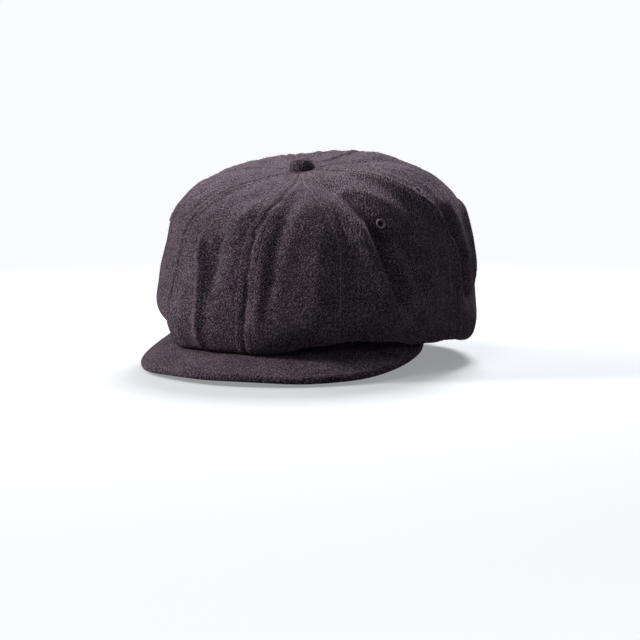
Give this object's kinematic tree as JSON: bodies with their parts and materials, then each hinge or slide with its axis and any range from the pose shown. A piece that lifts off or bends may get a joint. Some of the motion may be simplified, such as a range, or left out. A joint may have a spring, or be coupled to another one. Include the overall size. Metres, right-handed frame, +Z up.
{
  "type": "newsboy cap",
  "caption": "Newsboy cap with a full panelled wool crown, covered button, vent eyelets, inner bands and a flexing curved visor.",
  "frame": {"origin": "centre of the head opening, in the plane of the bands' lower edge", "axes": "+Z up through the crown, -Y to the front over the visor, +X to the wearer's left"},
  "size_m": [0.2212, 0.275, 0.1464],
  "materials": {
    "wool_cloth": "brushed melange wool",
    "seam_tape": "woven tape",
    "eyelet_thread": "satin-stitched thread",
    "button_metal": "pressed, satin",
    "band_stiffener": "stiff interlining",
    "sweatband_twill": "cotton twill",
    "visor_board": "moulded sheet"
  },
  "bodies": {
    "crown": {"panel_front_left": "wool_cloth", "panel_front_right": "wool_cloth", "panel_side_front_left": "wool_cloth", "panel_side_front_right": "wool_cloth", "panel_side_back_left": "wool_cloth", "panel_side_back_right": "wool_cloth", "panel_back_left": "wool_cloth", "panel_back_right": "wool_cloth", "seam_tape_front": "seam_tape", "seam_tape_front_left": "seam_tape", "seam_tape_left": "seam_tape", "seam_tape_back_left": "seam_tape", "seam_tape_back": "seam_tape", "seam_tape_back_right": "seam_tape", "seam_tape_right": "seam_tape", "seam_tape_front_right": "seam_tape", "eyelet_front_left": "eyelet_thread", "eyelet_front_right": "eyelet_thread", "eyelet_rear_left": "eyelet_thread", "eyelet_rear_right": "eyelet_thread", "button_cover": "wool_cloth", "button_shell": "button_metal", "button_post": "button_metal", "button_backing_disc": "button_metal", "hat_band": "wool_cloth", "band_stiffener": "band_stiffener", "sweatband": "sweatband_twill"},
    "visor": {"visor_top_cover": "wool_cloth", "visor_board": "visor_board", "visor_under_cover": "wool_cloth"}
  },
  "joints": [
    {"name": "visor_tilt", "type": "hinge", "parent": "crown", "child": "visor", "pos_m": [0, -0.035, 0], "axis": [1, 0, 0], "range_deg": [0, 6], "stiffness_Nm_per_rad": 1.2, "springref_deg": -3.44}
  ]
}
